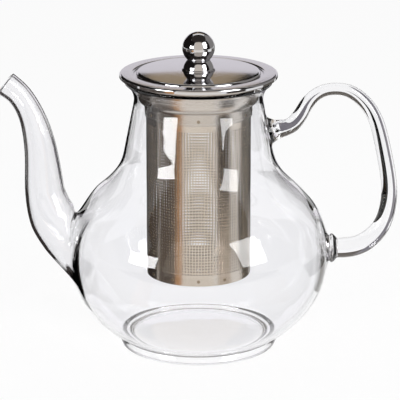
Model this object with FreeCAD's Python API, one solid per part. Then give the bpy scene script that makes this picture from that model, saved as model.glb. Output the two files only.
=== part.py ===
import FreeCAD, Part
import math
import os

from FreeCAD import Vector

# Glass teapot with a lift-out steel infuser and a lift-off steel lid, in millimetres.
# Origin: the middle of the foot, on the table. +Z is up, the spout points to -X, the handle to +X.

# How far pieces that are fused onto the bowl are drawn on into it before they are cut to its skin
fuse_depth = 8.0

# Glass bowl, by its outer skin
glass_wall = 2.2
belly_radius = 80.8
belly_height = 60.0
belly_upper_round = 48.0
belly_lower_round = 60.0
base_round = 20.0
base_turn = -62.0
shoulder_slope = 45.0
shoulder_run = 17.1
shoulder_round = 32.0
neck_lean = 11.3
neck_run = 32.0
mouth_round = 12.0
mouth_flare = -55.0

# The blown bowl is drawn in bands and the spout in two lengths, parted at these heights
base_parting = 14.0
belly_parting = 37.0
shoulder_parting = 92.0
neck_parting = 120.0
lip_parting = 140.0

# Foot ring under the bowl
foot_outer_radius = 48.6
foot_inner_radius = 42.6
foot_edge_round = 2.2

# Spout: middle line and outer radius, from inside the bowl out to the lip
spout_wall = 2.0
spout_bore_past_lip = 4.0
spout_stations = [
    (-70.0, 61.0, 21.6),
    (-76.4, 61.6, 20.6),
    (-87.3, 73.0, 16.4),
    (-92.6, 86.6, 13.7),
    (-95.0, 101.0, 12.0),
    (-96.4, 120.0, 10.3),
    (-99.3, 137.0, 8.8),
    (-103.5, 149.0, 7.7),
    (-108.6, 157.8, 7.4),
    (-113.2, 162.6, 7.5),
    (-118.2, 166.1, 7.7),
]

# Handle: middle line and radius of the rod, from the upper pad to the lower pad
handle_stations = [
    (52.5, 137.6, 5.2),
    (57.6, 140.0, 4.8),
    (62.6, 146.6, 4.4),
    (67.0, 154.0, 4.1),
    (74.5, 160.2, 3.8),
    (84.0, 162.0, 3.8),
    (94.0, 159.6, 4.0),
    (103.6, 151.0, 4.3),
    (109.6, 139.0, 4.5),
    (113.4, 124.0, 4.7),
    (116.1, 110.4, 4.8),
    (117.6, 97.0, 4.9),
    (116.2, 84.0, 5.1),
    (111.4, 72.4, 5.5),
    (101.8, 63.8, 6.1),
    (92.6, 61.0, 6.4),
    (86.4, 60.6, 6.4),
]
upper_pad_root = (40.6, 135.2)
upper_pad_radius = 10.0
upper_pad_waist = 0.35
upper_pad_waist_swell = 1.12
lower_pad_radius = 8.8
lower_pad_depth = 3.4
lower_pad_round = 1.4

# Infuser: collar pressed from sheet, sleeve and floor from thinner etched sheet
collar_sheet = 0.7
collar_wall_radius = 36.6
collar_dish_round = 7.0
collar_dish_height = 160.0
collar_shoulder_round = 4.0
collar_rim_radius = 44.4
collar_bead = 1.6
lip_gap = 0.4
sleeve_radius = 32.0
sleeve_sheet = 0.4
sleeve_bottom = 45.8
sleeve_top = 151.0
collar_skirt_bottom = 146.6
floor_rim_height = 6.0
floor_corner = 1.6

# Lid, pressed from one sheet, with a locating skirt
lid_sheet = 0.7
flange_radius = 48.2
flange_top = 172.6
flange_edge_drop = 2.6
flange_edge_round = 1.4
groove_outer_radius = 39.6
groove_floor = 171.5
groove_round = 0.9
dome_radius = 37.8
dome_apex = 174.2
dome_sphere = 820.0
dome_edge_round = 1.5
skirt_radius = 35.0
skirt_sheet = 0.6
skirt_bottom = 161.0
skirt_flange_inner = 28.5
skirt_flange_low = 172.2

# Knob, held by a screw from below
knob_foot_radius = 10.2
knob_foot_height = 0.8
knob_bell_radius = 9.4
knob_neck_radius = 6.9
knob_bell_draw = 0.7
knob_ball_radius = 9.9
knob_ball_height = 187.7
screw_radius = 2.0
screw_depth_in_ball = 7.0
screw_head_radius = 3.6
screw_head_height = 2.2
washer_radius = 5.0
washer_height = 0.8
screw_hole = screw_radius + 0.05
screw_end_room = 1.0

# Spot welds stand this much proud of the sheet
weld_count = 12
weld_radius = 1.0
weld_height = 0.2
collar_weld_level = 149.6


def at(radius, height):
    return Vector(radius, 0, height)


def heading(degrees):
    return at(math.cos(math.radians(degrees)), math.sin(math.radians(degrees)))


def uphill(degrees):
    return heading(degrees + 90)


def line(start, end):
    return Part.LineSegment(start, end).toShape()


def arc(centre, radius, start, end):
    middle = (start + end) / 2
    points = [centre + heading(angle) * radius for angle in (start, middle, end)]
    return Part.Arc(*points).toShape()


def spin(edges):
    """Solid made by turning a closed outline round the upright axis."""
    wire = Part.Wire(Part.__sortEdges__(edges))
    return Part.Face(wire).revolve(Vector(0, 0, 0), Vector(0, 0, 1), 360)


def spin_points(points):
    """Solid turned from a straight-sided outline of (radius, height) points."""
    corners = [at(*point) for point in points]
    return spin([line(a, b) for a, b in zip(corners, corners[1:] + corners[:1])])


def ring(inner, outer, bottom, top):
    return spin_points([(inner, bottom), (outer, bottom), (outer, top), (inner, top)])


def spots(shape_at_zero, count):
    """Group of like solids spread evenly round the upright axis."""
    step = 360 / count
    return Part.makeCompound([
        shape_at_zero.rotated(Vector(0, 0, 0), Vector(0, 0, 1), step * index) for index in range(count)
    ])


# Centres and joins of the arcs that make the bowl's outer skin
lower_centre = at(belly_radius - belly_lower_round, belly_height)
upper_centre = at(belly_radius - belly_upper_round, belly_height)
base_centre = lower_centre + heading(base_turn) * (belly_lower_round - base_round)
shoulder_start = upper_centre + heading(shoulder_slope) * belly_upper_round
shoulder_end = shoulder_start + uphill(shoulder_slope) * shoulder_run
shoulder_centre = shoulder_end + heading(shoulder_slope) * shoulder_round
neck_start = shoulder_centre - heading(neck_lean) * shoulder_round
mouth_centre = neck_start + uphill(neck_lean) * neck_run + heading(neck_lean) * mouth_round
lip_centre = mouth_centre - heading(mouth_flare) * (mouth_round + glass_wall / 2)
lip_top = lip_centre.z + glass_wall / 2


def bowl_skin(depth):
    """Outline of the bowl from the middle of its base to its lip, a given depth below the outer skin."""
    base = base_centre - at(0, base_round - depth)
    shoulder_low = shoulder_start - heading(shoulder_slope) * depth
    shoulder_high = shoulder_end - heading(shoulder_slope) * depth
    neck_low = shoulder_centre - heading(neck_lean) * (shoulder_round + depth)
    neck_high = mouth_centre - heading(neck_lean) * (mouth_round + depth)
    return [
        line(at(0, base.z), base),
        arc(base_centre, base_round - depth, -90, base_turn),
        arc(lower_centre, belly_lower_round - depth, base_turn, 0),
        arc(upper_centre, belly_upper_round - depth, 0, shoulder_slope),
        line(shoulder_low, shoulder_high),
        arc(shoulder_centre, shoulder_round + depth, 180 + shoulder_slope, 180 + neck_lean),
        line(neck_low, neck_high),
        arc(mouth_centre, mouth_round + depth, 180 + neck_lean, 180 + mouth_flare),
    ]


def bowl_ends(depth):
    """Both ends of a bowl outline: the middle of the base and the edge of the mouth."""
    foot = at(0, base_centre.z - base_round + depth)
    mouth = mouth_centre - heading(mouth_flare) * (mouth_round + depth)
    return foot, mouth


def bowl_filled():
    """The bowl as if it were solid glass, for cutting the pieces that are fused onto it."""
    foot, mouth = bowl_ends(0)
    close = [line(mouth, at(0, mouth.z)), line(at(0, mouth.z), foot)]
    return spin(bowl_skin(0) + close)


def bowl_wall():
    outer_foot, _ = bowl_ends(0)
    inner_foot, _ = bowl_ends(glass_wall)
    lip = arc(lip_centre, glass_wall / 2, mouth_flare, mouth_flare + 180)
    return spin(bowl_skin(0) + [lip] + bowl_skin(glass_wall) + [line(outer_foot, inner_foot)])


def band(solid, low, high):
    """What lies between two heights."""
    return solid.common(Part.makeCylinder(2 * belly_radius, high - low, at(0, low)))


def middle_line(stations):
    """Smooth curve through the stations' middles, in the plane of the spout and handle."""
    curve = Part.BSplineCurve()
    curve.interpolate([at(x, z) for x, z, _ in stations])
    return curve


def round_bar(stations, shrink=0.0, start_run=0.0, end_run=0.0, end_facing=None):
    """Bar of round section through the stations, thinner by shrink and longer by the two runs."""
    curve = middle_line(stations)
    sections = []
    for index, (x, z, radius) in enumerate(stations):
        place = at(x, z)
        along = curve.tangent(curve.parameter(place))[0]
        if index == 0:
            place = place - along * start_run
        if index == len(stations) - 1:
            along = end_facing or along
            place = place + along * end_run
        circle = Part.Circle(place, along, radius - shrink)
        circle.XAxis = Vector(0, 1, 0)
        sections.append(Part.Wire(circle.toShape()))
    return Part.makeLoft(sections, True, False)


def foot_ring(filled):
    top = base_centre.z
    centre_out = at(foot_outer_radius - foot_edge_round, foot_edge_round)
    centre_in = at(foot_inner_radius + foot_edge_round, foot_edge_round)
    ring_solid = spin([
        line(at(centre_in.x, 0), at(centre_out.x, 0)),
        arc(centre_out, foot_edge_round, -90, 0),
        line(at(foot_outer_radius, foot_edge_round), at(foot_outer_radius, top)),
        line(at(foot_outer_radius, top), at(foot_inner_radius, top)),
        line(at(foot_inner_radius, top), at(foot_inner_radius, foot_edge_round)),
        arc(centre_in, foot_edge_round, 180, 270),
    ])
    return ring_solid.cut(filled)


def spout_bore():
    return round_bar(spout_stations, shrink=spout_wall, start_run=fuse_depth, end_run=spout_bore_past_lip)


def spout(filled, bore):
    return round_bar(spout_stations).cut(filled).cut(bore)


def upper_pad(filled):
    """Trumpet of glass between the neck and the upper end of the handle."""
    x, z, radius = handle_stations[0]
    end = at(x, z)
    root = at(*upper_pad_root)
    along = middle_line(handle_stations).tangent(0)[0]
    waist = end - along * (end - root).Length * upper_pad_waist
    sections = []
    for place, size in ((root, upper_pad_radius), (waist, radius * upper_pad_waist_swell), (end, radius)):
        circle = Part.Circle(place, along, size)
        circle.XAxis = Vector(0, 1, 0)
        sections.append(Part.Wire(circle.toShape()))
    return Part.makeLoft(sections, True, False).cut(filled)


def lower_pad(filled):
    """Button of glass between the belly and the lower end of the handle."""
    x, z, radius = handle_stations[-1]
    along = Vector(1, 0, 0)
    face = belly_radius + lower_pad_depth
    root = Vector(belly_radius - fuse_depth, 0, z)
    button = Part.makeCylinder(lower_pad_radius, lower_pad_depth + fuse_depth, root, along)
    outer_rim = max(button.Edges, key=lambda edge: edge.BoundBox.XMin)
    button = button.makeFillet(lower_pad_round, [outer_rim])
    neck = Part.makeCylinder(radius, x - face, Vector(face, 0, z), along)
    return button.fuse(neck).cut(filled).removeSplitter()


def infuser_collar():
    """Pressed dish: skirt round the sleeve, rounded dish, wall, turned-out shoulder and rolled rim."""
    rim_under = lip_top + lip_gap
    dish_centre = at(collar_wall_radius - collar_dish_round, collar_dish_height)
    shoulder = at(collar_wall_radius + collar_shoulder_round, rim_under - collar_shoulder_round)
    skirt_inner = sleeve_radius
    skirt_outer = sleeve_radius + collar_sheet

    def skin(depth, skirt):
        dish_round = collar_dish_round - depth
        turn = -math.degrees(math.acos((skirt - dish_centre.x) / dish_round))
        corner = dish_centre + heading(turn) * dish_round
        wall = collar_wall_radius - depth
        rim = rim_under + depth
        return [
            line(at(skirt, collar_skirt_bottom), corner),
            arc(dish_centre, dish_round, turn, 0),
            line(at(wall, dish_centre.z), at(wall, shoulder.z)),
            arc(shoulder, collar_shoulder_round + depth, 180, 90),
            line(at(shoulder.x, rim), at(collar_rim_radius, rim)),
        ]

    sheet = spin(skin(0, skirt_outer) + skin(collar_sheet, skirt_inner) + [
        line(at(skirt_inner, collar_skirt_bottom), at(skirt_outer, collar_skirt_bottom)),
        line(at(collar_rim_radius, rim_under), at(collar_rim_radius, rim_under + collar_sheet)),
    ])
    bead = Part.makeTorus(collar_rim_radius, collar_bead, Vector(0, 0, rim_under + collar_bead))
    return sheet.fuse(bead).removeSplitter()


def sieve_sleeve():
    return ring(sleeve_radius - sleeve_sheet, sleeve_radius, sleeve_bottom, sleeve_top)


def sieve_floor():
    """Shallow cup with an upturned rim that fits inside the foot of the sleeve."""
    outer = sleeve_radius - sleeve_sheet
    inner = outer - sleeve_sheet
    rim_top = sleeve_bottom + floor_rim_height
    floor_top = sleeve_bottom + sleeve_sheet
    corner = at(outer - floor_corner, sleeve_bottom + floor_corner)
    return spin([
        line(at(0, sleeve_bottom), at(corner.x, sleeve_bottom)),
        arc(corner, floor_corner, -90, 0),
        line(at(outer, corner.z), at(outer, rim_top)),
        line(at(outer, rim_top), at(inner, rim_top)),
        line(at(inner, rim_top), at(inner, corner.z)),
        arc(corner, floor_corner - sleeve_sheet, 0, -90),
        line(at(corner.x, floor_top), at(0, floor_top)),
        line(at(0, floor_top), at(0, sleeve_bottom)),
    ])


def side_welds(radius, height):
    """Ring of low round nuggets on an upright cylinder."""
    start = at(radius - weld_radius, height)
    peg = Part.makeCylinder(weld_radius, 2 * weld_radius, start, Vector(1, 0, 0))
    skin = ring(radius, radius + weld_height, height - 2 * weld_radius, height + 2 * weld_radius)
    return spots(peg.common(skin), weld_count)


# The dome is a shallow cap of a sphere, and a round that touches it leads down into the groove
dome_centre = at(0, dome_apex - dome_sphere)
round_radius = dome_radius - dome_edge_round
round_rise = math.sqrt((dome_sphere - dome_edge_round) ** 2 - round_radius ** 2)
round_centre = at(round_radius, dome_centre.z + round_rise)
dome_edge = math.degrees(math.atan2(round_rise, round_radius))


def lid_shell():
    """Turned-down edge, flat flange, groove and shallow dome, with the screw hole in the middle."""

    def skin(depth):
        edge_centre = at(flange_radius - flange_edge_round, flange_top - flange_edge_round)
        edge = flange_radius - depth
        flange = flange_top - depth
        step_centre = at(groove_outer_radius + groove_round, flange_top - groove_round)
        wall = groove_outer_radius + depth
        floor = groove_floor - depth
        dome_wall = dome_radius - depth
        hole_turn = math.degrees(math.acos(screw_hole / (dome_sphere - depth)))
        return [
            line(at(edge, flange_top - flange_edge_drop), at(edge, edge_centre.z)),
            arc(edge_centre, flange_edge_round - depth, 0, 90),
            line(at(edge_centre.x, flange), at(step_centre.x, flange)),
            arc(step_centre, groove_round - depth, 90, 180),
            line(at(wall, step_centre.z), at(wall, floor)),
            line(at(wall, floor), at(dome_wall, floor)),
            line(at(dome_wall, floor), at(dome_wall, round_centre.z)),
            arc(round_centre, dome_edge_round - depth, 0, dome_edge),
            arc(dome_centre, dome_sphere - depth, dome_edge, hole_turn),
        ]

    top = skin(0)
    under = skin(lid_sheet)
    hole_top = top[-1].Vertexes[-1].Point
    hole_under = under[-1].Vertexes[-1].Point
    edge_low = flange_top - flange_edge_drop
    return spin(top + under + [
        line(hole_top, hole_under),
        line(at(flange_radius, edge_low), at(flange_radius - lid_sheet, edge_low)),
    ])


def lid_skirt(dome_under):
    """Ring with an inward flange that lies against the underside of the dome."""
    tall = spin_points([
        (skirt_radius - skirt_sheet, skirt_bottom),
        (skirt_radius, skirt_bottom),
        (skirt_radius, dome_apex),
        (skirt_flange_inner, dome_apex),
        (skirt_flange_inner, skirt_flange_low),
        (skirt_radius - skirt_sheet, skirt_flange_low),
    ])
    return tall.common(dome_under)


def skirt_welds():
    middle = (skirt_flange_inner + skirt_radius) / 2
    start = at(middle, skirt_flange_low - weld_height)
    return spots(Part.makeCylinder(weld_radius, weld_height, start), weld_count)


# The ball stands on the neck where the two are equally wide
neck_top = knob_ball_height - math.sqrt(knob_ball_radius ** 2 - knob_neck_radius ** 2)


def knob_base():
    """Thin foot and a bell that narrows to the neck, drilled for the screw."""
    foot_top = dome_apex + knob_foot_height
    bell_middle = at(knob_bell_radius - knob_bell_draw, (foot_top + neck_top) / 2)
    bell = Part.Arc(at(knob_bell_radius, foot_top), bell_middle, at(knob_neck_radius, neck_top)).toShape()
    return spin([
        line(at(screw_hole, dome_apex), at(knob_foot_radius, dome_apex)),
        line(at(knob_foot_radius, dome_apex), at(knob_foot_radius, foot_top)),
        line(at(knob_foot_radius, foot_top), at(knob_bell_radius, foot_top)),
        bell,
        line(at(knob_neck_radius, neck_top), at(screw_hole, neck_top)),
        line(at(screw_hole, neck_top), at(screw_hole, dome_apex)),
    ])


def knob_ball():
    """Ball with a flat where it meets the neck and a blind hole for the screw."""
    ball = Part.makeSphere(knob_ball_radius, Vector(0, 0, knob_ball_height))
    across = 2 * knob_ball_radius
    below = Part.makeCylinder(across, across, at(0, neck_top - across))
    hole = Part.makeCylinder(screw_hole, screw_depth_in_ball + screw_end_room, at(0, neck_top))
    return ball.cut(below).cut(hole)


washer_top = dome_apex - lid_sheet - washer_radius ** 2 / (2 * dome_sphere)


def knob_washer():
    return ring(screw_hole, washer_radius, washer_top - washer_height, washer_top)


def knob_screw():
    seat = washer_top - washer_height
    shank = Part.makeCylinder(screw_radius, neck_top + screw_depth_in_ball - seat, at(0, seat))
    head = Part.makeCylinder(screw_head_radius, screw_head_height, at(0, seat - screw_head_height))
    return head.fuse(shank).removeSplitter()


filled_bowl = bowl_filled()
bore = spout_bore()
blown_wall = bowl_wall().cut(bore)
drawn_spout = spout(filled_bowl, bore)
above_all = 2 * lip_top
dome_under = Part.makeSphere(dome_sphere - lid_sheet, dome_centre)

pieces = {
    "pot_base": band(blown_wall, 0, base_parting),
    "pot_lower_bowl": band(blown_wall, base_parting, belly_parting),
    "pot_belly": band(blown_wall, belly_parting, shoulder_parting),
    "pot_shoulder": band(blown_wall, shoulder_parting, neck_parting),
    "pot_neck": band(blown_wall, neck_parting, above_all),
    "foot_ring": foot_ring(filled_bowl),
    "spout_stem": band(drawn_spout, 0, lip_parting),
    "spout_lip": band(drawn_spout, lip_parting, above_all),
    "handle": round_bar(handle_stations, end_facing=Vector(-1, 0, 0)),
    "handle_upper_pad": upper_pad(filled_bowl),
    "handle_lower_pad": lower_pad(filled_bowl),
    "infuser_collar": infuser_collar(),
    "sieve_sleeve": sieve_sleeve(),
    "sieve_floor": sieve_floor(),
    "collar_spot_welds": side_welds(sleeve_radius + collar_sheet, collar_weld_level),
    "floor_spot_welds": side_welds(sleeve_radius, sleeve_bottom + floor_rim_height / 2),
    "lid_shell": lid_shell(),
    "lid_skirt": lid_skirt(dome_under),
    "skirt_spot_welds": skirt_welds(),
    "knob_base": knob_base(),
    "knob_ball": knob_ball(),
    "knob_screw": knob_screw(),
    "knob_washer": knob_washer(),
}

os.makedirs("parts", exist_ok=True)
for name, shape in pieces.items():
    shape.exportStep("parts/" + name + ".step")
    box = shape.BoundBox
    print(name, "valid" if shape.isValid() else "NOT VALID", len(shape.Solids), "solids",
          round(shape.Volume, 1), "mm3",
          "x", round(box.XMin, 2), round(box.XMax, 2), "z", round(box.ZMin, 2), round(box.ZMax, 2))
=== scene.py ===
import math

import bmesh
import bpy
import numpy as np
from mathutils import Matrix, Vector


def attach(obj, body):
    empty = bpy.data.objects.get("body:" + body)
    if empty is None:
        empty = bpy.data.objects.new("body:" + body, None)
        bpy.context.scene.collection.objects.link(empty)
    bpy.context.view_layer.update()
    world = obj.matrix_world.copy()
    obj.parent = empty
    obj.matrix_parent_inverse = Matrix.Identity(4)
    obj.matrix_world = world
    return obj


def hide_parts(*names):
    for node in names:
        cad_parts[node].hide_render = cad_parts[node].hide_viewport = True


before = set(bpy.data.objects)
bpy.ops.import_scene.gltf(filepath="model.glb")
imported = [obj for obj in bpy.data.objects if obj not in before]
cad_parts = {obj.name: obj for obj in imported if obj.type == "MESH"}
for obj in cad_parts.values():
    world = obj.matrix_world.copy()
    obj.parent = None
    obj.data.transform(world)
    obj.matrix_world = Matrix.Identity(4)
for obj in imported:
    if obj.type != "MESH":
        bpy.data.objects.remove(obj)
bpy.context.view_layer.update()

# Glass pot: bowl, foot, spout, handle and its two pads. The real pot is blown and drawn from clear
# borosilicate, and its pieces are melted together in a flame, so here they are one unbroken skin:
# a coarse cage of quads that a subdivision surface rounds off, with every joint flowing like a weld.

# The pieces are drawn in millimetres, and piece_from turns them to metres
mm = 0.001
wall = 2.2
around = 48

# The bowl's outline is a chain of arcs and straight runs, each given by its centre and size
belly_radius, belly_height = 80.8, 60.0
lower_round, upper_round = 60.0, 48.0
shoulder_slope, shoulder_run, shoulder_round = math.radians(45), 17.1, 32.0
neck_lean, neck_run = math.radians(11.3), 32.0
mouth_round, mouth_flare = 12.0, math.radians(-55)


def facing(angle):
    """Unit step in the (radius, height) plane, outward at 0 and upward at a right angle."""
    return np.array([math.cos(angle), math.sin(angle)])


def rising(angle):
    """Unit step up along a wall that faces an angle."""
    return np.array([-math.sin(angle), math.cos(angle)])


lower_centre = np.array([belly_radius - lower_round, belly_height])
upper_centre = np.array([belly_radius - upper_round, belly_height])
shoulder_low = upper_centre + upper_round * facing(shoulder_slope)
shoulder_high = shoulder_low + shoulder_run * rising(shoulder_slope)
shoulder_centre = shoulder_high + shoulder_round * facing(shoulder_slope)
neck_low = shoulder_centre - shoulder_round * facing(neck_lean)
neck_high = neck_low + neck_run * rising(neck_lean)
mouth_centre = neck_high + mouth_round * facing(neck_lean)
mouth_edge = mouth_centre - mouth_round * facing(mouth_flare)
lip_middle = mouth_centre - (mouth_round + wall / 2) * facing(mouth_flare)


def bowl_skin(height):
    """Outer radius of the bowl at a height, and the slope of its outward normal."""
    if height < belly_height:
        turn = math.asin((height - belly_height) / lower_round)
        return (lower_centre + lower_round * facing(turn))[0], turn
    if height < shoulder_low[1]:
        turn = math.asin((height - belly_height) / upper_round)
        return (upper_centre + upper_round * facing(turn))[0], turn
    if height < shoulder_high[1]:
        return shoulder_low[0] - (height - shoulder_low[1]) * math.tan(shoulder_slope), shoulder_slope
    if height < neck_low[1]:
        turn = math.asin((shoulder_centre[1] - height) / shoulder_round)
        return (shoulder_centre - shoulder_round * facing(turn))[0], turn
    if height < neck_high[1]:
        return neck_low[0] - (height - neck_low[1]) * math.tan(neck_lean), neck_lean
    turn = math.asin((mouth_centre[1] - height) / mouth_round)
    return (mouth_centre - mouth_round * facing(turn))[0], turn


cage_points = []
cage_faces = []
held_points = set()


def cage_loop(points):
    """Adds points to the cage and returns their numbers."""
    start = len(cage_points)
    cage_points.extend(points)
    return list(range(start, len(cage_points)))


def bridge(low, high, skip=()):
    """Quads between two loops of equally many points, leaving out the columns in skip."""
    count = len(low)
    for index in range(count):
        if index not in skip:
            after = (index + 1) % count
            cage_faces.append((low[index], low[after], high[after], high[index]))


def turned(radius, height):
    """One round of the cage about the upright axis."""
    steps = [2 * math.pi * index / around for index in range(around)]
    return cage_loop([(radius * math.cos(a), radius * math.sin(a), height) for a in steps])


# Rows of the cage: under the base, round the foot ring, up the bowl, over its lip and down inside.
# Three rows frame each end of the handle and five frame the root of the spout.
foot_rows = [(13, 4.7), (26, 4.7), (37, 4.65), (41.2, 4.3), (42.6, 3.0), (43.3, 1.1), (44.7, 0.16),
             (46.5, 0.16), (47.9, 0.9), (48.6, 2.6), (48.5, 4.8), (48.3, 6.6)]
bowl_heights = [9.3, 13.5, 20, 29, 39.5, 50, 61, 72, 83, 93, 100.5, 107.5, 113.5,
                119.5, 128, 135.6, 143.2, 150, 154, 157.5, 161, 164, mouth_edge[1]]
lip_turns = [-12, 35, 82]
floor_rows = [(45.7, 7.95), (39.6, 6.9), (26, 6.9), (13, 6.9)]
spout_rows = [39.5, 50, 61, 72, 83]
handle_upper_rows = [128, 135.6, 143.2]
handle_lower_rows = [50, 61, 72]

outer_rows = {}
inner_rows = {}
rows = [turned(*row) for row in foot_rows]
for height in bowl_heights:
    outer_rows[height] = turned(bowl_skin(height)[0], height)
    rows.append(outer_rows[height])
for turn in lip_turns:
    rows.append(turned(*(lip_middle + wall / 2 * facing(math.radians(turn)))))
for height in reversed(bowl_heights):
    radius, turn = bowl_skin(height)
    inner_rows[height] = turned(*(np.array([radius, height]) - wall * facing(turn)))
    rows.append(inner_rows[height])
rows += [turned(*row) for row in floor_rows]

spout_column, spout_reach = around // 2, 2
handle_column, handle_reach = 0, 1
inner_openings = [(spout_rows, spout_column, spout_reach)]
outer_openings = inner_openings + [(handle_upper_rows, handle_column, handle_reach),
                                   (handle_lower_rows, handle_column, handle_reach)]


def open_columns(low, high):
    """Columns left open between two rows, where the spout or the handle grows out of the bowl."""
    columns = set()
    for row_set, openings in ((outer_rows, outer_openings), (inner_rows, inner_openings)):
        pair = [height for height, row in row_set.items() if row is low or row is high]
        for heights, middle, reach in openings:
            if len(pair) == 2 and set(pair) <= set(heights):
                columns |= {column % around for column in range(middle - reach, middle + reach)}
    return columns


for low, high in zip(rows, rows[1:]):
    bridge(low, high, open_columns(low, high))
for row, height in ((rows[0], foot_rows[0][1]), (rows[-1], floor_rows[-1][1])):
    middle = cage_loop([(0, 0, height)])[0]
    held_points |= {middle} | set(row)
    for index in range(around):
        cage_faces.append((row[index], row[(index + 1) % around], middle))


def framed(row_set, heights, middle, reach, step):
    """Loop of cage points round an opening, from the middle of its +Y side upwards and over.

    step is 1 where higher columns lie to +Y, and -1 where they lie to -Y."""
    near, far = middle + step * reach, middle - step * reach
    up = [row_set[height][near % around] for height in heights]
    over = [row_set[heights[-1]][column % around] for column in range(near - step, far, -step)]
    down = [row_set[height][far % around] for height in reversed(heights)]
    back = [row_set[heights[0]][column % around] for column in range(far + step, near, step)]
    loop = up + over + down + back
    start = len(heights) // 2
    return loop[start:] + loop[:start]


def settle_on_bowl(loop, side, height, across, tall, depth):
    """Moves a loop of the cage to a rounded outline on the bowl's skin, or to a depth under it.

    side is -1 where the spout stands and 1 where the handle stands."""
    for index, point in enumerate(loop):
        angle = 2 * math.pi * index / len(loop)
        y = across * math.cos(angle)
        z = height + tall * math.sin(angle)
        radius, turn = bowl_skin(z)
        radius -= depth / math.cos(turn)
        cage_points[point] = (side * math.sqrt(radius ** 2 - y ** 2), y, z)


def hoop(place, along, radius, count, up):
    """Round of a tube: count points about a place in the plane of spout and handle."""
    across = np.array([0.0, 1.0, 0.0])
    normal = np.cross(across, along) * up
    steps = [2 * math.pi * index / count for index in range(count)]
    return cage_loop([tuple(place + radius * (math.cos(a) * across + math.sin(a) * normal)) for a in steps])


def tube_frames(stations):
    """Place, heading and radius at each station of a tube."""
    places = np.array([(x, 0.0, z) for x, z, _ in stations])
    ahead = np.gradient(places, axis=0)
    ahead /= np.linalg.norm(ahead, axis=1)[:, None]
    return list(zip(places, ahead, [radius for _, _, radius in stations]))


# Spout: a swan neck of round section, from the bowl out to its lip, then back down its bore. Where it
# leaves the bowl its hoops fan out, and each is given by its lower and its upper edge. Its lip is
# melted round, given by steps past the tip and in from the skin.
spout_wall = 2.0
spout_root = [((-91.0, 55.3), (-77.2, 86.8)), ((-97.4, 63.8), (-78.8, 90.2)),
              ((-102.3, 72.4), (-80.6, 93.8)), ((-105.5, 83.6), (-82.2, 97.8))]
spout_stations = [(-95.0, 101.0, 12.0), (-96.4, 120.0, 10.3), (-99.3, 137.0, 8.8), (-103.5, 149.0, 7.7),
                  (-108.6, 157.6, 7.4), (-113.2, 162.2, 7.5), (-116.8, 165.0, 7.7)]
spout_lip = [(0.7, 0.35), (0.9, spout_wall / 2), (0.6, spout_wall - 0.3)]
spout_points = 16
spout_frames = []
for (low_x, low_z), (high_x, high_z) in spout_root:
    low_edge = np.array([low_x, 0.0, low_z])
    rise = np.array([high_x, 0.0, high_z]) - low_edge
    width = np.linalg.norm(rise)
    heading = np.array([-rise[2], 0.0, rise[0]]) / width
    spout_frames.append((low_edge + rise / 2, heading, width / 2))
spout_frames += tube_frames(spout_stations)
outer_mouth = framed(outer_rows, spout_rows, spout_column, spout_reach, -1)
inner_mouth = framed(inner_rows, spout_rows, spout_column, spout_reach, -1)
settle_on_bowl(outer_mouth, -1, height=61.0, across=21.0, tall=22.0, depth=0)
settle_on_bowl(inner_mouth, -1, height=61.8, across=16.8, tall=18.2, depth=wall)
tube = [outer_mouth] + [hoop(p, t, r, spout_points, 1) for p, t, r in spout_frames]
tip, tip_heading, tip_radius = spout_frames[-1]
for past, inward in spout_lip:
    tube.append(hoop(tip + past * tip_heading, tip_heading, tip_radius - inward, spout_points, 1))
tube += [hoop(p, t, r - spout_wall, spout_points, 1) for p, t, r in reversed(spout_frames)]
tube.append(inner_mouth)
for low, high in zip(tube, tube[1:]):
    bridge(low, high)

# Handle: a solid rod bent to an ear, with a trumpet pad on the neck and a button pad on the belly
handle_stations = [(45.2, 136.0, 7.4), (48.4, 136.6, 6.0), (52.5, 137.6, 5.2), (57.6, 140.0, 4.8),
                   (62.6, 146.6, 4.4), (67.0, 154.0, 4.1), (74.5, 160.2, 3.8), (84.0, 162.0, 3.8),
                   (94.0, 159.6, 4.0), (103.6, 151.0, 4.3), (109.6, 139.0, 4.5), (113.4, 124.0, 4.7),
                   (116.1, 110.4, 4.8), (117.6, 97.0, 4.9), (116.2, 84.0, 5.1), (111.4, 72.4, 5.5),
                   (101.8, 63.8, 6.1), (92.6, 61.0, 6.4), (87.2, 60.6, 6.3), (85.6, 60.6, 6.5),
                   (84.6, 60.6, 7.6), (83.6, 60.6, 8.6), (82.0, 60.6, 8.9)]
handle_points = 8
upper_root = framed(outer_rows, handle_upper_rows, handle_column, handle_reach, 1)
lower_root = framed(outer_rows, handle_lower_rows, handle_column, handle_reach, 1)
settle_on_bowl(upper_root, 1, height=135.6, across=9.0, tall=9.6, depth=0)
settle_on_bowl(lower_root, 1, height=60.6, across=9.6, tall=9.6, depth=0)
rod = [upper_root] + [hoop(p, t, r, handle_points, -1) for p, t, r in tube_frames(handle_stations)]
rod.append([lower_root[-index % handle_points] for index in range(handle_points)])
for low, high in zip(rod, rod[1:]):
    bridge(low, high)


def fitted_cage(points, faces, held, passes=60):
    """Moves the cage out until the rounded surface passes through the points it was drawn with."""
    wanted = np.array(points)
    cage = wanted.copy()
    quads = np.array([face for face in faces if len(face) == 4])
    pairs = {tuple(sorted((f[i], f[(i + 1) % len(f)]))) for f in faces for i in range(len(f))}
    pairs = np.array(sorted(pairs))
    valence = np.maximum(np.bincount(pairs.ravel(), minlength=len(points)), 1.0)[:, None]
    free = np.array([index not in held for index in range(len(points))])
    for _ in range(passes):
        edge_sum = np.zeros_like(cage)
        np.add.at(edge_sum, pairs[:, 0], cage[pairs[:, 1]])
        np.add.at(edge_sum, pairs[:, 1], cage[pairs[:, 0]])
        corner_sum = np.zeros_like(cage)
        for corner in range(4):
            np.add.at(corner_sum, quads[:, corner], cage[quads[:, (corner + 2) % 4]])
        rounded = (valence ** 2 * cage + 4 * edge_sum + corner_sum) / (valence * (valence + 5))
        cage[free] += (wanted - rounded)[free]
    return cage


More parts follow.
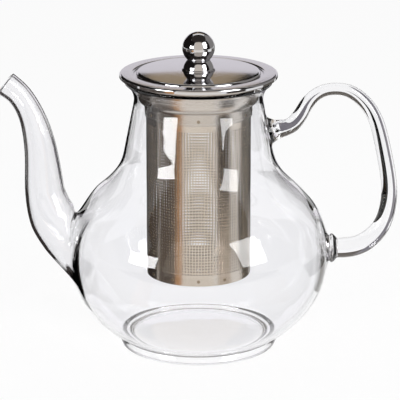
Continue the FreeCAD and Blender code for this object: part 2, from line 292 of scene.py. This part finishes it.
def piece_from(name, points, faces):
    """New mesh object from points in millimetres, with smooth shading and outward faces."""
    mesh = bpy.data.meshes.new(name)
    mesh.from_pydata([tuple(mm * v for v in point) for point in points], [], faces)
    clean = bmesh.new()
    clean.from_mesh(mesh)
    unused = [vert for vert in clean.verts if not vert.link_faces]
    bmesh.ops.delete(clean, geom=unused, context="VERTS")
    bmesh.ops.recalc_face_normals(clean, faces=clean.faces)
    clean.to_mesh(mesh)
    clean.free()
    mesh.shade_smooth()
    piece = bpy.data.objects.new(name, mesh)
    bpy.context.scene.collection.objects.link(piece)
    return piece


glass_pot = piece_from("glass_pot", fitted_cage(cage_points, cage_faces, held_points), cage_faces)
rounding = glass_pot.modifiers.new("flame_rounding", "SUBSURF")
rounding.levels = 2
rounded_glass = glass_pot.evaluated_get(bpy.context.evaluated_depsgraph_get())
glass_pot.data = bpy.data.meshes.new_from_object(rounded_glass)
glass_pot.modifiers.clear()


def linear(hex_colour):
    """sRGB hex to the linear colour that shaders take."""
    channels = [int(hex_colour[i:i + 2], 16) / 255 for i in (1, 3, 5)]
    return [c / 12.92 if c <= 0.04045 else ((c + 0.055) / 1.055) ** 2.4 for c in channels] + [1.0]


def node(tree, kind, settings=(), links=()):
    """Adds a shader node. Settings are its own properties or the values of its inputs, and links
    bring other nodes' outputs to its inputs. An input goes by its name, or by its number."""
    made = tree.nodes.new(kind)
    for key, value in dict(settings).items():
        if isinstance(key, int) or key in made.inputs:
            made.inputs[key].default_value = value
        else:
            setattr(made, key, value)
    for key, source in dict(links).items():
        tree.links.new(source, made.inputs[key])
    return made


def new_material(name):
    """Empty material, and the tree that takes its nodes."""
    material = bpy.data.materials.new(name)
    material.use_nodes = True
    material.node_tree.nodes.clear()
    return material, material.node_tree


# Borosilicate, IOR 1.473, fire polished: mirror smooth, with the slow waves that a flame leaves in
# blown glass. Rays from lamps and from steel pass straight through, so that the steel inside is lit
# and its rim isn't black where it stands on the glass lip.
wave_length, wave_depth, wave_strength = 26.0, 2.0, 0.06
glass, tree = new_material("borosilicate_glass")
spot = node(tree, "ShaderNodeTexCoord")
waves = node(tree, "ShaderNodeTexNoise", {"Scale": 1 / (wave_length * mm), "Detail": 1.0, "Roughness": 0.4},
             {"Vector": spot.outputs["Object"]})
tint = node(tree, "ShaderNodeMix", {"data_type": "RGBA", 6: linear("#FEFEFF"), 7: linear("#FCFCFE")},
            {0: waves.outputs["Fac"]})
bump = node(tree, "ShaderNodeBump", {"Strength": wave_strength, "Distance": wave_depth * mm},
            {"Height": waves.outputs["Fac"]})
clear = node(tree, "ShaderNodeBsdfPrincipled", {"Roughness": 0.0, "IOR": 1.473, "Transmission Weight": 1.0},
             {"Base Color": tint.outputs[2], "Normal": bump.outputs["Normal"]})
lamp_way = node(tree, "ShaderNodeBsdfTransparent", {"Color": linear("#FBFAFA")})
path = node(tree, "ShaderNodeLightPath")
from_steel = node(tree, "ShaderNodeMath", {"operation": "SUBTRACT", "use_clamp": True},
                  {0: path.outputs["Is Glossy Ray"], 1: path.outputs["Is Singular Ray"]})
straight = node(tree, "ShaderNodeMath", {"operation": "MAXIMUM"},
                {0: path.outputs["Is Shadow Ray"], 1: from_steel.outputs[0]})
either = node(tree, "ShaderNodeMixShader",
              links={0: straight.outputs[0], 1: clear.outputs[0], 2: lamp_way.outputs[0]})
node(tree, "ShaderNodeOutputMaterial", links={"Surface": either.outputs[0]})
glass_pot.data.materials.append(glass)
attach(glass_pot, "pot")
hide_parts("pot_base", "pot_lower_bowl", "pot_belly", "pot_shoulder", "pot_neck", "foot_ring",
            "spout_stem", "spout_lip", "handle", "handle_upper_pad", "handle_lower_pad")


# Infuser collar: a dish pressed from 0.7 mm stainless sheet, spun on a lathe so that fine lines run
# round it. Its rolled rim hangs on the glass lip and its skirt is welded round the sieve.

turn_steps = 160


def arc_points(centre, radius, start, end, steps):
    """Points along an arc in the (radius, height) plane, angles in degrees."""
    angles = [math.radians(start + (end - start) * step / steps) for step in range(steps + 1)]
    return [(centre[0] + radius * math.cos(a), centre[1] + radius * math.sin(a)) for a in angles]


def lathe(name, outline):
    """Closed outline turned about the upright axis; points on the axis become a single point."""
    points, faces, columns = [], [], []
    for r, z in outline:
        start = len(points)
        if r < 1e-6:
            points.append((0, 0, z))
            columns.append([start] * turn_steps)
            continue
        for step in range(turn_steps):
            a = 2 * math.pi * step / turn_steps
            points.append((r * math.cos(a), r * math.sin(a), z))
        columns.append(list(range(start, start + turn_steps)))
    for low, high in zip(columns, columns[1:] + columns[:1]):
        for step in range(turn_steps):
            after = (step + 1) % turn_steps
            corners = list(dict.fromkeys((low[step], low[after], high[after], high[step])))
            if len(corners) > 2:
                faces.append(corners)
    piece = piece_from(name, points, faces)
    even = piece.modifiers.new("flat_faces_stay_flat", "WEIGHTED_NORMAL")
    even.weight = 100
    return piece


def steel(name, colour_a, colour_b, roughness, line_width, line_strength):
    """Stainless steel turned on a lathe: fine lines run round it, and its shine varies a little."""
    blotch_width, line_depth = 14, 0.2
    material, tree = new_material(name)
    spot = node(tree, "ShaderNodeTexCoord")
    axes = node(tree, "ShaderNodeSeparateXYZ", links={"Vector": spot.outputs["Object"]})
    flat = node(tree, "ShaderNodeCombineXYZ", links={"X": axes.outputs["X"], "Y": axes.outputs["Y"]})
    out = node(tree, "ShaderNodeVectorMath", {"operation": "LENGTH"}, {0: flat.outputs[0]})
    ring = node(tree, "ShaderNodeCombineXYZ", links={"X": out.outputs["Value"], "Z": axes.outputs["Z"]})
    lines = node(tree, "ShaderNodeTexNoise", {"Scale": 1 / (line_width * mm), "Detail": 2.0},
                 {"Vector": ring.outputs[0]})
    blotches = node(tree, "ShaderNodeTexNoise", {"Scale": 1 / (blotch_width * mm), "Detail": 3.0},
                    {"Vector": spot.outputs["Object"]})
    colour = node(tree, "ShaderNodeMix", {"data_type": "RGBA", 6: linear(colour_a), 7: linear(colour_b)},
                  {0: blotches.outputs["Fac"]})
    shine = node(tree, "ShaderNodeMapRange", {"To Min": roughness * 0.75, "To Max": roughness * 1.3},
                 {"Value": lines.outputs["Fac"]})
    bump = node(tree, "ShaderNodeBump", {"Strength": line_strength, "Distance": line_depth * mm},
                {"Height": lines.outputs["Fac"]})
    metal = node(tree, "ShaderNodeBsdfPrincipled", {"Metallic": 1.0},
                 {"Base Color": colour.outputs[2], "Roughness": shine.outputs["Result"],
                  "Normal": bump.outputs["Normal"]})
    node(tree, "ShaderNodeOutputMaterial", links={"Surface": metal.outputs[0]})
    return material


# Satin stainless: pale warm grey, with a soft streak of light that the lathe lines spread sideways.
# The real lines are finer than 0.1 mm; they are drawn half a millimetre wide, so that they show.
satin_steel = steel("satin_stainless_steel", "#D8D4CD", "#CBC6BE",
                    roughness=0.24, line_width=0.5, line_strength=0.25)

sheet = 0.7
rim_gap = 0.4
rim_under = lip_middle[1] + wall / 2 + rim_gap
bead = 1.6
bead_middle = (44.4, rim_under + bead)
throat_round = 4.0
throat_middle = (40.6, rim_under - throat_round)
dish_middle, dish_round = (29.6, 160.0), 7.0
skirt_inner, skirt_outer, skirt_low, skirt_straight = 32.0, 32.7, 146.6, 3
cut_edge_in, cut_edge_low, cut_edge_high = 0.12, skirt_low - 0.05, skirt_low + 0.15
outer_turn = -math.degrees(math.acos((skirt_outer - dish_middle[0]) / dish_round))
inner_turn = -math.degrees(math.acos((skirt_inner - dish_middle[0]) / (dish_round - sheet)))
collar_outline = (
    [(skirt_inner, skirt_low), (skirt_inner + cut_edge_in, cut_edge_low),
     (skirt_outer - cut_edge_in, cut_edge_low), (skirt_outer, cut_edge_high),
     (skirt_outer, skirt_low + skirt_straight)]
    + arc_points(dish_middle, dish_round, outer_turn, 0, 12)
    + arc_points(throat_middle, throat_round, 180, 92, 8)
    + arc_points(bead_middle, bead, -100, 190, 18)
    + arc_points(throat_middle, throat_round + sheet, 90, 180, 8)
    + arc_points(dish_middle, dish_round - sheet, 0, inner_turn, 12)
)
collar = lathe("infuser_collar_spun", collar_outline)
collar.data.materials.append(satin_steel)
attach(collar, "infuser")
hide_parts("infuser_collar")


# Sieve sleeve: 0.4 mm stainless sheet etched with square holes in straight rows, rolled into a tube,
# with a plain band at each end. The real holes stand about 1.1 mm apart; here they are drawn 1.8 mm
# apart, so that they show as holes in a picture of the whole pot.

sleeve_radius, sleeve_sheet = 32.0, 0.4
sleeve_low, sleeve_high = 45.8, 151.0
plain_low, plain_high = 6.4, 8.0
hole_columns = 112
hole_rows = 50
hole_share = 0.56


def perforated(name, columns, levels, holed, place):
    """Sheet of two faces with a square hole in every cell of the holed rows, closed all round.

    levels are the edges of the rows of cells, and place(turn, level, inside) gives a point."""
    points, faces, corner = [], [], {}
    near, far = (1 - hole_share) / 2, 1 - (1 - hole_share) / 2

    def point(column, level, inside):
        key = (column % columns, level, inside)
        if key not in corner:
            corner[key] = len(points)
            points.append(place(2 * math.pi * column / columns, level, inside))
        return corner[key]

    for row, (low, high) in enumerate(zip(levels, levels[1:])):
        for column in range(columns):
            hole_pair = []
            for inside in (False, True):
                outer = [point(column, low, inside), point(column + 1, low, inside),
                         point(column + 1, high, inside), point(column, high, inside)]
                if not holed[row]:
                    faces.append(outer)
                    continue
                hole = []
                for across, tall in ((near, near), (far, near), (far, far), (near, far)):
                    hole.append(len(points))
                    points.append(place(2 * math.pi * (column + across) / columns,
                                        low + (high - low) * tall, inside))
                hole_pair.append(hole)
                faces += [(outer[k], outer[(k + 1) % 4], hole[(k + 1) % 4], hole[k]) for k in range(4)]
            if hole_pair:
                front, back = hole_pair
                faces += [(front[k], front[(k + 1) % 4], back[(k + 1) % 4], back[k]) for k in range(4)]
    for level in (levels[0], levels[-1]):
        for column in range(columns):
            faces.append((point(column, level, False), point(column + 1, level, False),
                          point(column + 1, level, True), point(column, level, True)))
    piece = piece_from(name, points, faces)
    piece.data.set_sharp_from_angle(angle=math.radians(35))
    return piece


def sleeve_place(turn, level, inside):
    """Point of the rolled sheet, at a turn about the axis and a height."""
    radius = sleeve_radius - (sleeve_sheet if inside else 0)
    return (radius * math.cos(turn), radius * math.sin(turn), level)


def even_levels(low, high, count):
    return [low + (high - low) * step / count for step in range(count + 1)]


sleeve_levels = ([sleeve_low, sleeve_low + plain_low / 2]
                 + even_levels(sleeve_low + plain_low, sleeve_high - plain_high, hole_rows)
                 + [sleeve_high - plain_high / 2, sleeve_high])
sleeve_holed = [False] * 2 + [True] * hole_rows + [False] * 2
# Etched stainless: bright sheet, a shade warmer where the acid has been, with the faint lines that
# rolling left in it. They are drawn 0.8 mm wide, coarser than they are, so that they show.
etched_steel = steel("etched_stainless_steel", "#E2DCD2", "#D2CABE",
                     roughness=0.2, line_width=0.8, line_strength=0.2)
sleeve = perforated("sieve_sleeve_etched", hole_columns, sleeve_levels, sleeve_holed, sleeve_place)
sleeve.data.materials.append(etched_steel)
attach(sleeve, "infuser")
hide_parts("sieve_sleeve")


# Sieve floor: the same etched sheet, pressed to a shallow cup whose plain rim is welded inside the
# foot of the sleeve. Its holes lie in rings about a plain middle with one small round hole.

floor_radius = sleeve_radius - sleeve_sheet
floor_corner = 1.6
floor_rim = 6.0
floor_columns = 96
floor_middle = [1.2, 3.0]
floor_holes = (5.0, 28.4)
floor_hole_rows = 15
floor_bend_rows = 5
floor_flat = floor_radius - floor_corner
floor_bend = floor_corner * math.pi / 2


def floor_place(turn, level, inside):
    """level runs out along the floor from its middle, round the corner and up the rim."""
    inward = sleeve_sheet if inside else 0.0
    if level <= floor_flat:
        r, z = level, sleeve_low + inward
    elif level <= floor_flat + floor_bend:
        turn_down = (level - floor_flat) / floor_corner - math.pi / 2
        r = floor_flat + (floor_corner - inward) * math.cos(turn_down)
        z = sleeve_low + floor_corner + (floor_corner - inward) * math.sin(turn_down)
    else:
        r, z = floor_radius - inward, sleeve_low + floor_corner + level - floor_flat - floor_bend
    return (r * math.cos(turn), r * math.sin(turn), z)


floor_levels = (floor_middle + even_levels(*floor_holes, floor_hole_rows)
                + even_levels(floor_flat, floor_flat + floor_bend, floor_bend_rows)
                + [floor_flat + floor_bend + floor_rim - floor_corner])
floor_holed = [False] * 2 + [True] * floor_hole_rows + [False] * (floor_bend_rows + 2)
sieve_floor = perforated("sieve_floor_etched", floor_columns, floor_levels, floor_holed, floor_place)
sieve_floor.data.materials.append(etched_steel)
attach(sieve_floor, "infuser")
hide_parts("sieve_floor")


# Spot welds: rings of round nuggets where the collar, the sieve floor and the lid skirt are joined.
# Each is a low pad, dulled and browned a little by the heat of the weld.

weld_steel = steel("heat_tinted_weld", "#B9AB98", "#8F8373",
                   roughness=0.3, line_width=0.4, line_strength=0.3)
for name in ("collar_spot_welds", "floor_spot_welds", "skirt_spot_welds"):
    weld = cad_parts[name]
    weld.data.materials.clear()
    weld.data.materials.append(weld_steel)


# Lid shell: one pressing of polished stainless sheet, with a turned-down edge, a flat flange, a
# groove and a raised dome with a rounded edge. It rests on the rim of the collar.

flange_radius, flange_top, flange_drop = 48.2, 172.6, 2.6
groove_radius, groove_floor = 39.6, 171.5
dome_radius, dome_apex, dome_sphere = 37.8, 174.2, 820.0
dome_end, dome_rounds = 36.0, 14
screw_hole = 2.05


def rounded(corners, steps=5):
    """Outline past (radius, height, fillet) corners, each rounded by its fillet. The first and last
    corners only give the direction and aren't in the outline."""
    outline = []
    for index in range(1, len(corners) - 1):
        r, z, fillet = corners[index]
        here = np.array([r, z])
        before = np.array(corners[index - 1][:2]) - here
        after = np.array(corners[index + 1][:2]) - here
        before /= np.linalg.norm(before)
        after /= np.linalg.norm(after)
        half = math.acos(max(-1, min(1, float(before @ after)))) / 2
        reach = fillet / math.tan(half)
        start, end = here + before * reach, here + after * reach
        middle = here + (before + after) / np.linalg.norm(before + after) * fillet / math.sin(half)
        first, last = start - middle, end - middle
        sweep = math.pi - 2 * half
        for step in range(steps + 1):
            share = step / steps
            outline.append(tuple(middle + (math.sin((1 - share) * sweep) * first
                                           + math.sin(share * sweep) * last) / math.sin(sweep)))
    return outline


def dome_height(radius, depth=0.0):
    """Height of the dome's skin at a radius, or of a skin at a depth below it."""
    return dome_apex - dome_sphere + math.sqrt((dome_sphere - depth) ** 2 - radius ** 2)


dome_steps = even_levels(screw_hole, dome_end, dome_rounds)
lid_corners = [
    (dome_end, dome_height(dome_end), 0),
    (dome_radius, dome_height(dome_radius), 1.5),
    (dome_radius, groove_floor, 0.15),
    (groove_radius, groove_floor, 0.15),
    (groove_radius, flange_top, 0.9),
    (flange_radius, flange_top, 1.3),
    (flange_radius, flange_top - flange_drop, 0.2),
    (flange_radius - sheet, flange_top - flange_drop, 0.2),
    (flange_radius - sheet, flange_top - sheet, 0.6),
    (groove_radius + sheet, flange_top - sheet, 0.3),
    (groove_radius + sheet, groove_floor - sheet, 0.3),
    (dome_radius - sheet, groove_floor - sheet, 0.3),
    (dome_radius - sheet, dome_height(dome_radius - sheet, sheet), 0.8),
    (dome_end, dome_height(dome_end, sheet), 0),
]
lid_outline = ([(r, dome_height(r)) for r in dome_steps] + rounded(lid_corners)
               + [(r, dome_height(r, sheet)) for r in reversed(dome_steps)])
lid = lathe("lid_shell_pressed", lid_outline)
# Polished stainless: almost a mirror, with faint lines left by the buffing wheel, drawn coarser than
# they are so that they show
polished_steel = steel("polished_stainless_steel", "#DADADC", "#D2D1D3",
                       roughness=0.07, line_width=0.35, line_strength=0.05)
lid.data.materials.append(polished_steel)
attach(lid, "lid")
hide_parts("lid_shell")


# Lid skirt: a spun ring of satin stainless sheet, spot welded under the dome, that drops into the
# collar and keeps the lid from sliding off.

skirt_radius, skirt_sheet, skirt_bottom = 35.0, 0.6, 161.0
skirt_flange, skirt_shelf = 28.5, 172.2
skirt_steps = even_levels(skirt_flange, skirt_radius, 6)
skirt_outline = ([(r, dome_height(r, sheet)) for r in skirt_steps]
                 + rounded([(skirt_radius, skirt_shelf, 0), (skirt_radius, skirt_bottom, 0.2),
                            (skirt_radius - skirt_sheet, skirt_bottom, 0.2),
                            (skirt_radius - skirt_sheet, skirt_shelf, 0.5), (skirt_flange, skirt_shelf, 0)])
                 + [(skirt_flange, skirt_shelf)])
skirt = lathe("lid_skirt_spun", skirt_outline)
skirt.data.materials.append(satin_steel)
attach(skirt, "lid")
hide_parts("lid_skirt")


# Knob: a turned and polished bell with a thin foot, and a ball that stands on its neck. A screw from
# under the lid, with a washer below its head, pulls both down onto the dome.

knob_foot, knob_foot_height = 10.2, 0.8
bell_radius, bell_draw, neck_radius = 9.4, 0.7, 6.9
ball_radius, ball_height = 9.9, 187.7
ball_seat_gap, ball_seat_edge = 0.02, 0.3
neck_top = ball_height - math.sqrt(ball_radius ** 2 - neck_radius ** 2)
foot_top = dome_apex + knob_foot_height
bell_steps = 12
bell = []
for step in range(bell_steps + 1):
    share = step / bell_steps
    swell = 4 * share * (1 - share) * (bell_radius - bell_draw - (bell_radius + neck_radius) / 2)
    bell.append((bell_radius + (neck_radius - bell_radius) * share + swell,
                 foot_top + (neck_top - foot_top) * share))
knob_base_outline = ([(screw_hole, dome_apex)]
                     + rounded([(screw_hole, dome_apex, 0), (knob_foot, dome_apex, 0.2),
                                (knob_foot, foot_top, 0.35), (bell_radius, foot_top, 0)])
                     + bell + [(screw_hole, neck_top)])
knob_base = lathe("knob_base_turned", knob_base_outline)
ball_start = -math.degrees(math.acos(neck_radius / ball_radius))
ball_seat = neck_top + ball_seat_gap
ball_outline = ([(0, ball_seat), (neck_radius - ball_seat_edge, ball_seat)]
                + arc_points((0, ball_height), ball_radius, ball_start, 89, 40)
                + [(0, ball_height + ball_radius)])
knob_ball = lathe("knob_ball_turned", ball_outline)
for piece, part in ((knob_base, "knob_base"), (knob_ball, "knob_ball")):
    piece.data.materials.append(polished_steel)
    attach(piece, "lid")
    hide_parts(part)
for name in ("knob_screw", "knob_washer"):
    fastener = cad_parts[name]
    fastener.data.materials.clear()
    fastener.data.materials.append(satin_steel)


# Studio: a floor of pale paper that keeps the pot's shadow, and a white room round it. Both look white
# to the camera, to steel and through glass, and light the pot less than they look.

floor_size = 3.0
paper_glow = 0.9
room_light, room_look = 0.55, 1.0


def flat_panel(name, corners):
    """Four-cornered sheet of the studio, given in metres."""
    mesh = bpy.data.meshes.new(name)
    mesh.from_pydata(corners, [], [(0, 1, 2, 3)])
    panel = bpy.data.objects.new(name, mesh)
    bpy.context.scene.collection.objects.link(panel)
    return panel


def seen_directly(tree):
    """1 for rays from the camera, a mirror or glass, 0 for rays that only carry light."""
    path = node(tree, "ShaderNodeLightPath")
    first = node(tree, "ShaderNodeMath", {"operation": "MAXIMUM"},
                 {0: path.outputs["Is Camera Ray"], 1: path.outputs["Is Glossy Ray"]})
    both = node(tree, "ShaderNodeMath", {"operation": "MAXIMUM"},
                {0: first.outputs[0], 1: path.outputs["Is Transmission Ray"]})
    return both.outputs[0]


studio_floor = flat_panel("studio_floor", [(-floor_size, -floor_size, 0), (floor_size, -floor_size, 0),
                                           (floor_size, floor_size, 0), (-floor_size, floor_size, 0)])
floor_paper, tree = new_material("studio_paper")
paper = node(tree, "ShaderNodeBsdfDiffuse", {"Color": linear("#F4F4F5")})
glow = node(tree, "ShaderNodeEmission", {"Color": linear("#FFFFFF"), "Strength": 1.0})
share = node(tree, "ShaderNodeMath", {"operation": "MULTIPLY", 1: paper_glow}, {0: seen_directly(tree)})
blend = node(tree, "ShaderNodeMixShader",
             links={0: share.outputs[0], 1: paper.outputs[0], 2: glow.outputs[0]})
node(tree, "ShaderNodeOutputMaterial", links={"Surface": blend.outputs[0]})
studio_floor.data.materials.append(floor_paper)

world = bpy.data.worlds.new("studio")
bpy.context.scene.world = world
world.use_nodes = True
tree = world.node_tree
tree.nodes.clear()
strength = node(tree, "ShaderNodeMapRange", {"To Min": room_light, "To Max": room_look},
                {"Value": seen_directly(tree)})
sky = node(tree, "ShaderNodeBackground", {"Color": linear("#FFFFFF")},
           {"Strength": strength.outputs["Result"]})
node(tree, "ShaderNodeOutputWorld", links={"Surface": sky.outputs[0]})


# Soft boxes: two lamps behind white cloth, one on each side of the camera. Their bright shapes show
# on the bowl's front.

pot_middle = (0, 0, 0.09)


def aimed(obj, place, target):
    """Puts a lamp or a camera at a place and turns it to a target."""
    obj.location = place
    obj.rotation_euler = (Vector(target) - Vector(place)).to_track_quat("-Z", "Y").to_euler()


for name, place, width, height, watts in (("soft_box_left", (-1.0, -0.85, 0.42), 0.60, 0.36, 8),
                                          ("soft_box_right", (1.0, -0.85, 0.74), 0.60, 0.98, 12)):
    lamp = bpy.data.lights.new(name, "AREA")
    lamp.shape = "RECTANGLE"
    lamp.size, lamp.size_y = width, height
    lamp.energy = watts
    soft_box = bpy.data.objects.new(name, lamp)
    bpy.context.scene.collection.objects.link(soft_box)
    aimed(soft_box, place, pot_middle)


# Cards: matt boards round the set that give clear glass its dark edges and polished steel something
# to mirror. They stand on the table, lie on it or hang over it, and cast no light or shadow. Those
# that lie on the table are a millimetre apart in height, so that no two kinds share a plane.

glass_card_level, steel_card_level, skin_card_level = 0.002, 0.003, 0.004


def card(name, corners, colour, shown_by):
    """Board that shows in one place only: in what steel mirrors, in what the front skin of the
    glass mirrors, or in the thick of the glass, which bends the view onto it."""
    board = flat_panel(name, corners)
    material, tree = new_material(name + "_card")
    shown = node(tree, "ShaderNodeEmission", {"Color": linear(colour), "Strength": 1.0})
    unseen = node(tree, "ShaderNodeBsdfTransparent")
    path = node(tree, "ShaderNodeLightPath")
    # Faces of glass that a ray has crossed: two for a rod or a single wall, four for the whole bowl
    crossed = path.outputs["Transmission Depth"]
    if shown_by == "thick_glass":
        share = node(tree, "ShaderNodeMath", {"operation": "LESS_THAN", 1: 3.5}, {0: crossed})
    else:
        from_skin = shown_by == "glass_skin"
        mirrored = node(tree, "ShaderNodeMath", {"operation": "GREATER_THAN", 1: 0.5},
                        {0: path.outputs["Glossy Depth"]})
        inside = node(tree, "ShaderNodeMath", {"operation": "GREATER_THAN", 1: 2.5 if from_skin else 0.5},
                      {0: crossed})
        on_skin = node(tree, "ShaderNodeMath", {"operation": "SUBTRACT", "use_clamp": True},
                       {0: path.outputs["Is Singular Ray"], 1: inside.outputs[0]})
        share = node(tree, "ShaderNodeMath",
                     {"operation": "MULTIPLY" if from_skin else "SUBTRACT", "use_clamp": True},
                     {0: mirrored.outputs[0], 1: on_skin.outputs[0]})
    blend = node(tree, "ShaderNodeMixShader",
                 links={0: share.outputs[0], 1: unseen.outputs[0], 2: shown.outputs[0]})
    node(tree, "ShaderNodeOutputMaterial", links={"Surface": blend.outputs[0]})
    board.data.materials.append(material)
    board.visible_camera = False
    board.visible_diffuse = False
    board.visible_shadow = False


def upright(name, left, right, depth, low, high, colour, shown_by):
    """Card that stands square to the camera."""
    card(name, [(left, depth, low), (right, depth, low), (right, depth, high), (left, depth, high)],
         colour, shown_by)


def bearing(degrees, distance, height):
    """Place round the pot, by its bearing from the camera's side."""
    turn = math.radians(degrees)
    return (distance * math.sin(turn), -distance * math.cos(turn), height)


def standing(name, start, end, distance, low, high, colour):
    """Upright card between two bearings, for the steel."""
    card(name, [bearing(start, distance, low), bearing(end, distance, low), bearing(end, distance, high),
                bearing(start, distance, high)], colour, "steel")


def lying(name, start, end, near, far, colour):
    """Card on the table between two bearings, for the steel."""
    level = steel_card_level
    card(name, [bearing(start, near, level), bearing(end, near, level), bearing(end, far, level),
                bearing(start, far, level)], colour, "steel")


near_black, soft_black, lavender_grey = "#0A0A0A", "#1B1817", "#77747B"

# For the thick of the glass, cards lie on the table behind the pot and stand at the back
flag_end = 0.9
for left, right, near, colour in ((-0.40, -0.10, 0.02, near_black), (-0.10, -0.075, 0.12, lavender_grey),
                                  (0.18, 0.40, 0.02, near_black)):
    card("table_flag", [(left, near, glass_card_level), (right, near, glass_card_level),
                        (right, flag_end, glass_card_level), (left, flag_end, glass_card_level)],
         colour, "thick_glass")
upright("handle_flag", 0.02, 0.078, 0.15, 0, 0.125, lavender_grey, "thick_glass")
upright("dark_back", -2.5, 2.5, 2.5, 0.2, 2.6, "#4E4842", "thick_glass")

# For the steel, a warm wall and table in front stand between dark and grey ones at the sides
standing("warm_wall", -30, 30, 2.2, 0, 2.6, "#D9D0C6")
lying("warm_table", -32, 32, 0.12, 2.2, "#FBF7F1")
for side in (-1, 1):
    standing("dark_wall", side * 33, side * 88, 2.0, 0, 2.2, soft_black)
standing("dark_side", -152, -88, 2.0, 0, 2.4, soft_black)
standing("grey_side", 88, 152, 2.0, 0, 2.4, "#8E8B8A")
lying("brown_table", -48, -34, 0.12, 1.4, "#CFA075")
lying("dark_table_left", -92, -48, 0.12, 1.4, "#625A55")
lying("grey_table_left", -146, -96, 0.12, 1.4, "#3A3533")
lying("dark_table_right", 40, 70, 0.34, 1.4, "#4A4440")
lying("pale_table_right", 40, 70, 0.12, 0.34, "#DDD3C8")
lying("grey_table_right", 104, 140, 0.12, 1.4, "#6A6660")
lying("dark_table_edge", 148, 176, 0.12, 1.4, soft_black)

# For the front skin of the glass, the room in front is dark
room_side, room_front, room_top = 2.9, -2.6, 3
card("room_table", [(-0.9, -0.28, skin_card_level), (0.9, -0.28, skin_card_level),
                    (room_side, room_front, skin_card_level), (-room_side, room_front, skin_card_level)],
     near_black, "glass_skin")
upright("room_wall", -room_side, room_side, room_front, 0, room_top, near_black, "glass_skin")
card("room_ceiling", [(-room_side, room_front, room_top), (room_side, room_front, room_top),
                      (1.6, 0.3, room_top), (-1.6, 0.3, room_top)], near_black, "glass_skin")

# For the steel again, a pale wall behind the pot under a brown one with dark ends, and a dark ceiling
back, ends_back = 2.2, 2.19
pale_top, ends_top = 0.735, 2
upright("pale_wall", -2, 2, back, 0, pale_top, "#E3DFE6", "steel")
upright("brown_wall", -1, 1, back, pale_top, 2.8, "#9F8F79", "steel")
upright("dark_end_left", -2, -0.125, ends_back, pale_top, ends_top, "#141313", "steel")
card("dark_end_right", [(0.113, ends_back, pale_top), (2, ends_back, pale_top), (2, ends_back, ends_top),
                        (-0.146, ends_back, ends_top)], "#141313", "steel")
card("dark_ceiling", [(-2.2, -2.2, 2.5), (2.2, -2.2, 2.5), (2.2, 1.2, 2.5), (-2.2, 1.2, 2.5)],
     "#35312F", "steel")


# Camera: a long lens well back from the pot and above its lid, so that the lid shows as a narrow
# ellipse and the sides of the pot hardly lean.

camera_place, camera_target = (0.0009, -1.395, 0.502), (0.0009, 0, 0.0915)
camera_data = bpy.data.cameras.new("camera")
camera_data.lens = 212
camera_data.sensor_width = 36
camera = bpy.data.objects.new("camera", camera_data)
bpy.context.scene.collection.objects.link(camera)
aimed(camera, camera_place, camera_target)
bpy.context.scene.camera = camera
bpy.context.scene.view_settings.view_transform = "Standard"
